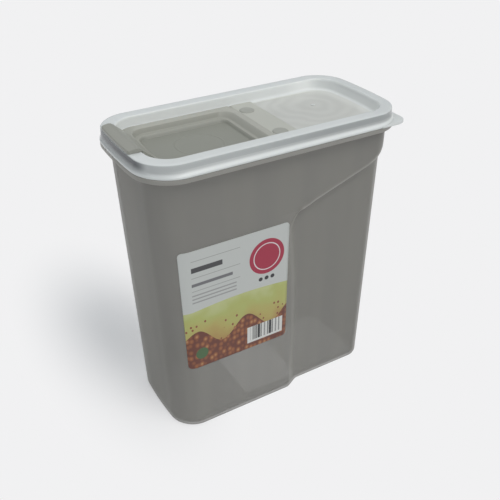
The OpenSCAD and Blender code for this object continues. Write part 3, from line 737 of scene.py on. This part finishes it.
# ---------------------------------------------------------------- flap
def flap():
    """The flap with its stepped dish: underside, edge, border, step, ledge, step and floor, where a plain
    raised ring marks the place to press."""
    border = (-RIM_L + RIM_BAND + 0.9, HINGE_X - 0.7, RIM_W - RIM_BAND - 0.9,
              RIM_R - 0.745 * RIM_BAND - 0.9, 1.2)
    rim_under = (border[0] + 0.95, border[1], border[2] - 0.95, border[3], border[4])
    ledge = (DISH[0] + 3.6, DISH[1] - 5.5, DISH[2] - 4.2, 6, 6)
    step = (DISH[0] + 1.1, DISH[1] - 3.2, DISH[2] - 1.1, 8, 8)
    flap_low, ledge_z = FLAP_TOP - FLAP_T, FLAP_TOP - 4.1
    floor_z = ledge_z - 2.5
    cx = (DISH[0] + DISH[1]) / 2
    section = [
        (grown(ledge, -2.5, floor_z - FLAP_T), 0),
        (grown(ledge, -0.8, floor_z - FLAP_T), 0.6),
        (grown(ledge, 1.1, ledge_z - FLAP_T), 0.5),
        (grown(DISH, 0, ledge_z - FLAP_T), 0.6),
        (grown(DISH, 1.1, flap_low), 0.3),
        (grown(rim_under, 0, flap_low), 0.15),
        (grown(border, 0, FLAP_TOP - 0.4), 0.15),
        (grown(border, 0, FLAP_TOP), 0.35),
        (grown(DISH, 0.25, FLAP_TOP), 0.7),
        (grown(step, 0, ledge_z), 0.7),
        (grown(ledge, 0.3, ledge_z), 0.5),
        (grown(ledge, -1.2, floor_z), 0.8),
        (grown(ledge, -3.0, floor_z), 0)]
    p = loft(rounded([r for r, _ in section], [r for _, r in section]), LID_COUNTS)
    raised = rounded([(17.8, floor_z), (17.6, floor_z), (17.1, floor_z + 0.22), (16.5, floor_z + 0.22),
                      (16, floor_z), (15.8, floor_z)], 0.2, 5, (0, 1))
    under = rings(headings(p[0], cx), cx, 0, [(r, floor_z - FLAP_T) for r in (4, 12, 20)])
    over = rings(headings(p[-1], cx), cx, 0, [*raised, (8, floor_z), (2, floor_z)])
    p = np.concatenate([under, p, over])
    piece = skin("flap_moulding", p, SPOUT_GREY, "flap")
    x, z = p[:, :, 0], p[:, :, 2]
    # painted shade: darker the deeper the dish goes, darkest underneath, darker towards the spout end
    depth = 0.4 * ease((FLAP_TOP - 0.1 - z) / 1.5) + 0.6 * ease((ledge_z - z) / 2)
    depth[: np.argmax(z[:, 0])] = 1
    paint(piece, "tone_and_painted_shade", np.maximum(depth, 0.55 * ease((-70 - x) / 10)))
    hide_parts("spout_flap")


def finger_bar():
    """Bar over the spout end of the rim and the web that slopes down to the flap. The same section at
    every slice; its outer part follows the rim's bow and draws in round the ends."""
    foot, inside, lift = 80.6, 89.4, TOTAL_H + 0.15
    path = [
        (-foot, FLAP_TOP - 0.4), (-foot, FLAP_TOP + 0.1), (-90.4, FLAP_TOP + 8.7), (-93.6, BAR_TOP - 0.1),
        (-96, BAR_TOP), (-RIM_L + 0.1, BAR_TOP - 0.7), (-RIM_L + 0.1, lift),
        (-inside, lift), (-inside, lift - 1), (-inside + 0.9, FLAP_TOP - 0.4)]
    middle = [((path[0][0] + path[-1][0]) / 2, path[0][1])]
    radii = [0, 0.1, 0.3, 2, 1.5, 1.5, 0.9, 0.3, 0.4, 0.8, 0.2, 0]
    xz = rounded(middle + path + middle, radii, 5, (0, 1))[:-1]
    s = np.sin(np.linspace(-1, 1, 45) * np.pi / 2)
    y = BAR_Y + BAR_HALF * s
    near_end = np.clip(1.6 - (BAR_HALF - np.abs(y - BAR_Y)), 0, 1.6)
    corner = np.clip(np.abs(y) - (RIM_W - RIM_R), 0, RIM_R)
    draw = RIM_L * BOW * (y / RIM_W) ** 2 + RIM_R - np.sqrt(RIM_R ** 2 - corner ** 2) \
        + 1.6 - np.sqrt(1.6 ** 2 - near_end ** 2)
    share = np.clip((-xz[:, 0] - inside) / (RIM_L - inside), 0, 1)
    x = xz[None, :, 0] + share[None] * draw[:, None]
    p = np.stack([x, y[:, None] + 0 * x, xz[None, :, 1] + 0 * x], -1)
    piece = prism("finger_bar", p, SPOUT_GREY, "flap")
    paint(piece, "tone_and_painted_shade", np.full(p.shape[:2], 0.62))
    soften(piece, 0.5, 3, 55)


def hinge_web():
    """Thin web between the lid's strip and the flap, with a bead along the hinge line."""
    x = np.linspace(2.0, 4.5, 21)
    bead = np.exp(-((x - HINGE_X) / 0.28) ** 2)
    top = FLAP_TOP - 0.12 - 0.05 * bead
    low = FLAP_TOP - 0.42 + 0.06 * bead
    xz = np.concatenate([np.stack([x, low], -1), np.stack([x, top], -1)[::-1]])
    y = np.linspace(-WEB_HALF, WEB_HALF, 15)[:, None]
    p = np.stack([xz[:, 0] + 0 * y, y + 0 * xz[:, 0], xz[:, 1] + 0 * y], -1)
    piece = prism("hinge_web", p, SPOUT_GREY, None)
    paint(piece, "tone_and_painted_shade", np.zeros(p.shape[:2]))
    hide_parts("living_hinge")
    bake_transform(piece)


# ---------------------------------------------------------------- label
def label():
    """Film on the front wall, from the hand recess round the start of the spout-end corner. Its own
    corners are quarter circles; its UV map is in centimetres along the film."""
    gap, thick = 0.05, 0.2
    turn = np.linspace(0, np.pi / 2, 8)
    rise = LABEL_R * (1 - np.cos(turn))
    z = np.concatenate([LABEL_Z + rise, np.linspace(LABEL_Z + LABEL_R, LABEL_Z + LABEL_H - LABEL_R, 24)[1:-1],
                        LABEL_Z + LABEL_H - rise[::-1]])[:, None]
    cut = np.concatenate([LABEL_R * (1 - np.sin(turn)), np.zeros(22),
                          LABEL_R * (1 - np.sin(turn[::-1]))])[:, None]
    arc = BASE[3] * np.pi / 2 * LABEL_WRAP
    q = np.concatenate([np.linspace(0, 1, 31), np.linspace(1, 2, 17)[1:]])[None]

    def film(out):
        lean = z / COLLAR_Z
        left, right, half = (BASE[k] + DRAFT[k] * lean for k in range(3))
        shape = (left - out, right + out, half + out, BASE[3] + out, BASE[4] + out, BOW)
        flat_end = around(*shape, np.ones((1, 1)), np.ones((1, 1)))[0]
        on_flat = LABEL_RIGHT - cut + (flat_end - LABEL_RIGHT + cut) * np.minimum(q, 1)
        t = 1 - np.maximum(q - 1, 0) * LABEL_WRAP * (1 - cut / arc)
        x, y = around(*shape, np.ones_like(q), t)
        x = np.where(q > 1, x, on_flat)
        y = np.where(q > 1, y, -half - out)
        return np.stack([x, y, z + 0 * x], -1), LABEL_RIGHT - flat_end

    outside, flat = film(gap + thick)
    inside, _ = film(gap)
    m, n = outside.shape[:2]
    p = np.concatenate([outside[:, ::-1], inside], 1)
    faces = grid_faces(m, 2 * n, True, False)
    j = np.arange(n - 1)
    caps = np.stack([j, 2 * n - 1 - j, 2 * n - 2 - j, j + 1], -1)
    faces += caps.tolist() + (caps[:, ::-1] + (m - 1) * 2 * n).tolist()
    piece = make_mesh("label_film", p.reshape(-1, 3), faces, FILM, "container")
    # distance along the film, in centimetres from its spout-side edge
    run = np.where(q <= 1, cut + (flat - cut) * np.minimum(q, 1), flat + (arc - cut) * (q - 1))
    u = (flat.mean() + arc - run) / 10
    v = (z - LABEL_Z) / 10 + 0 * u
    uv = np.stack([np.concatenate([u[:, ::-1], u], 1), np.concatenate([v, v], 1)], -1).reshape(-1, 2)
    corners = np.zeros(len(piece.data.loops), np.int32)
    piece.data.loops.foreach_get("vertex_index", corners)
    piece.data.uv_layers.new(name="film").data.foreach_set("uv", uv[corners].astype(np.float32).ravel())
    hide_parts("label")


container()
lid()
pull_tab()
hinge_strip()
flap()
finger_bar()
hinge_web()
label()


# ---------------------------------------------------------------- floor, light and camera
def is_seen(tree):
    """1 for rays from the camera and for rays that gloss or glass sends on, 0 for light on surfaces."""
    path = add(tree, "ShaderNodeLightPath").outputs
    some = add(tree, "ShaderNodeMath", {0: path["Is Camera Ray"], 1: path["Is Glossy Ray"]},
               operation="MAXIMUM")
    return add(tree, "ShaderNodeMath", {0: some.outputs[0], 1: path["Is Transmission Ray"]},
               operation="MAXIMUM").outputs[0]


def studio():
    """Pale even floor that keeps the shadow, a pale backdrop, and soft lamps overhead and in front."""
    material, tree, out = blank("pale_floor")
    seen = is_seen(tree)
    tone = add(tree, "ShaderNodeMix", {0: seen, 6: linear("#dcdcdc"), 7: linear("#ffffff")}, data_type="RGBA")
    matte = add(tree, "ShaderNodeBsdfDiffuse", {"Color": tone.outputs[2]})
    plain = add(tree, "ShaderNodeEmission", {"Color": linear("#f1f1f2"), "Strength": 1.0})
    # the shadow is seen in an oval by the spout end only; outside it the floor is drawn plain
    oval = add(tree, "ShaderNodeMapping", {0: add(tree, "ShaderNodeTexCoord").outputs["Object"],
                                           "Location": (-0.085, 0.105, 0), "Scale": (0.085, 0.2, 1)},
               vector_type="TEXTURE").outputs[0]
    span = add(tree, "ShaderNodeVectorMath", {0: oval}, operation="LENGTH").outputs["Value"]
    even = add(tree, "ShaderNodeMapRange", {"Value": span}, interpolation_type="SMOOTHSTEP").outputs[0]
    share = add(tree, "ShaderNodeMath", {0: seen, 1: even}, operation="MULTIPLY")
    mixed = add(tree, "ShaderNodeMixShader", {0: share.outputs[0], 1: matte.outputs[0], 2: plain.outputs[0]})
    tree.links.new(mixed.outputs[0], out.inputs[0])
    r = np.array([0, 400, 1200, 3000, 6000.0])[1:, None]
    a = np.linspace(0, 2 * np.pi, 64, endpoint=False)[None]
    p = np.stack([r * np.cos(a), r * np.sin(a), 0 * r + 0 * a - 0.05], -1)
    faces = grid_faces(4, 64, True, False) + [list(range(64))]
    floor = make_mesh("floor", p.reshape(-1, 3), faces, material, None, smooth=False)

    world = bpy.data.worlds.new("studio")
    bpy.context.scene.world = world
    world.use_nodes = True
    tree = world.node_tree
    tree.nodes.clear()
    way = add(tree, "ShaderNodeSeparateXYZ", {0: add(tree, "ShaderNodeTexCoord").outputs["Generated"]})
    sky = add(tree, "ShaderNodeMapRange", {"Value": way.outputs[2], "To Min": 0.24, "To Max": 0.9})
    fill = add(tree, "ShaderNodeBackground", {"Color": linear("#f0f3f6"), "Strength": sky.outputs[0]})
    seen = add(tree, "ShaderNodeBackground", {"Color": linear("#f1f1f2"), "Strength": 1.0})
    path = add(tree, "ShaderNodeLightPath").outputs
    shown = add(tree, "ShaderNodeMath", {0: path["Is Camera Ray"], 1: path["Is Transmission Ray"]},
                operation="MAXIMUM").outputs[0]
    mixed = add(tree, "ShaderNodeMixShader", {0: shown, 1: fill.outputs[0], 2: seen.outputs[0]})
    tree.links.new(mixed.outputs[0], add(tree, "ShaderNodeOutputWorld").inputs[0])

    def lamp(name, place, size, power, colour):
        data = bpy.data.lights.new(name, "AREA")
        data.shape, data.size, data.energy, data.color = "SQUARE", size, power, linear(colour)[:3]
        obj = bpy.data.objects.new(name, data)
        obj.location = place
        obj.rotation_euler = look_at(place, aim)
        bpy.context.scene.collection.objects.link(obj)

    aim = np.array([0, 0, 0.15])
    lamp("key", (0.4, -1.2, 1.95), 1.0, 11, "#fffdf8")
    lamp("glint", (-0.32, -0.89, 0.89), 0.12, 0.7, "#f6f9ff")


def look_at(place, aim):
    """Euler angles that turn an object's -Z towards aim."""
    d = np.asarray(place, float) - np.asarray(aim, float)
    return (math.atan2(math.hypot(d[0], d[1]), d[2]), 0.0, math.atan2(d[0], -d[1]))


def camera():
    """Camera at its own azimuth and elevation round a point near the container's middle."""
    azimuth, elevation, distance, lens = math.radians(-30.87), math.radians(32.40), 554.51, 50.418
    back = np.array([math.sin(azimuth) * math.cos(elevation), -math.cos(azimuth) * math.cos(elevation),
                     math.sin(elevation)])
    right = np.array([math.cos(azimuth), math.sin(azimuth), 0])
    target = np.array([0, 0, 100]) - 0.58 * right + 15.81 * np.cross(back, right)
    data = bpy.data.cameras.new("camera")
    data.lens, data.sensor_width = lens, 36
    data.clip_start, data.clip_end = 0.01, 50
    obj = bpy.data.objects.new("camera", data)
    obj.location = ((target + distance * back) * MM).tolist()
    obj.rotation_euler = (math.pi / 2 - elevation, 0, azimuth)
    bpy.context.scene.collection.objects.link(obj)
    bpy.context.scene.camera = obj


studio()
camera()
bpy.context.scene.view_settings.view_transform = "Standard"
